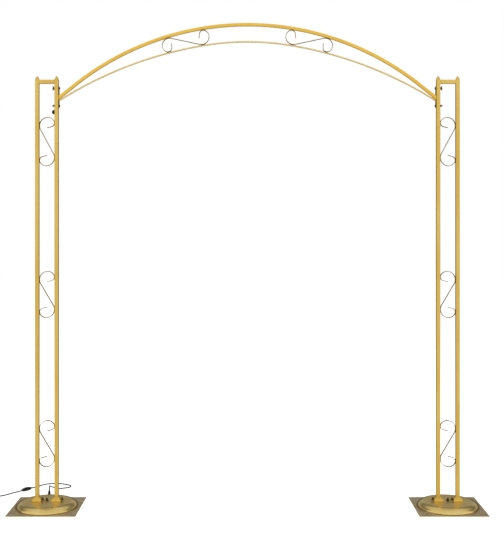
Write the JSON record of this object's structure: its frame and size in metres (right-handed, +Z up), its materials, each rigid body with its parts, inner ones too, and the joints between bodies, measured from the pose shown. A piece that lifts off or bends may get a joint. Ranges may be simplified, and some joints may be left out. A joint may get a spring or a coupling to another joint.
{
  "type": "garden arch",
  "caption": "Free-standing walk-through arch of gold painted steel: twin-post towers with scrollwork on round weighted bases, joined by a curved lattice span, with a mains lead.",
  "frame": {"origin": "on the floor midway between the two towers", "axes": "+X towards the right tower, +Y away from the viewer, +Z up"},
  "size_m": [2.6275, 0.6303, 2.4918],
  "materials": {
    "gold_paint": "satin metallic gold paint",
    "scroll_paint": "satin dark gold paint",
    "pale_gold": "satin pale gold paint",
    "base_bronze": "glossy bronze gold paint",
    "dark_steel": "dark zinc",
    "black_plastic": "moulded black plastic",
    "black_lead": "smooth black sheath"
  },
  "bodies": {
    "root": {"left_outer_post": "gold_paint", "left_inner_post": "gold_paint", "left_top_rail": "gold_paint", "left_outer_cap": "gold_paint", "left_inner_cap": "gold_paint", "left_upper_scroll": "scroll_paint", "left_middle_scroll": "scroll_paint", "left_lower_scroll": "scroll_paint", "left_outer_shoe": "gold_paint", "left_inner_shoe": "gold_paint", "left_base_dome": "base_bronze", "left_base_plate": "base_bronze", "left_base_stud": "dark_steel", "left_base_wing_nut": "gold_paint", "left_end_plate": "gold_paint", "left_joint_bolts": "dark_steel", "left_joint_wing_nuts": "dark_steel", "right_outer_post": "gold_paint", "right_inner_post": "gold_paint", "right_top_rail": "gold_paint", "right_outer_cap": "gold_paint", "right_inner_cap": "gold_paint", "right_upper_scroll": "scroll_paint", "right_middle_scroll": "scroll_paint", "right_lower_scroll": "scroll_paint", "right_outer_shoe": "gold_paint", "right_inner_shoe": "gold_paint", "right_base_dome": "base_bronze", "right_base_plate": "base_bronze", "right_base_stud": "dark_steel", "right_base_wing_nut": "gold_paint", "right_end_plate": "gold_paint", "right_joint_bolts": "dark_steel", "right_joint_wing_nuts": "dark_steel", "arch_upper_tube": "gold_paint", "arch_lower_rod": "pale_gold", "arch_left_scroll": "scroll_paint", "arch_right_scroll": "scroll_paint", "cable_outlet_cap": "black_plastic", "cord_gland": "black_plastic", "lead_near": "black_lead", "inline_switch": "black_plastic", "switch_rocker": "black_plastic", "lead_far": "black_lead", "lead_coil": "black_lead", "lead_tail": "black_lead", "mains_plug": "black_plastic"}
  },
  "joints": []
}
